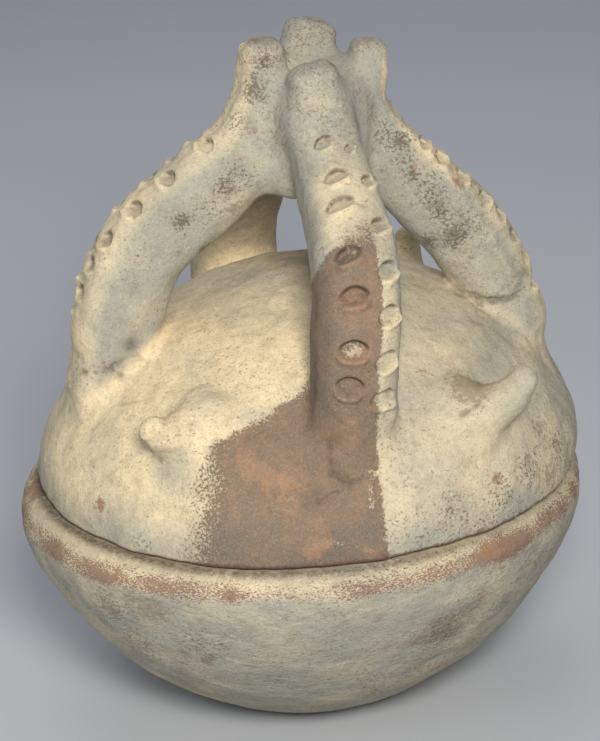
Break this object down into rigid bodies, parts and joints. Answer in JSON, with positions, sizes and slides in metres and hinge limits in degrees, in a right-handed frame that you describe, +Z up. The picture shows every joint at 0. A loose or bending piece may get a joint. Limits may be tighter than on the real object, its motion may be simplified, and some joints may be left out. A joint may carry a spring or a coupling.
{
  "type": "covered terracotta pot",
  "caption": "Round terracotta bowl with a bevelled rim and a loose domed lid, whose arms rise from its shoulder and meet in a hub above it.",
  "frame": {"origin": "middle of the bowl's flat underside, on the surface that it stands on", "axes": "+Z up through the bowl; -Y towards the side with the bare patch; the lid sits a little off the bowl's middle towards +X"},
  "size_m": [0.28, 0.28, 0.3351],
  "materials": {
    "worn_slip": "cream slip over red-brown terracotta, matt, worn through along the rim",
    "pale_slip": "cream slip over red-brown terracotta, matt, with dark specks and a large bare patch in front"
  },
  "bodies": {
    "root": {"bowl": "worn_slip", "lid": "pale_slip"}
  },
  "joints": []
}
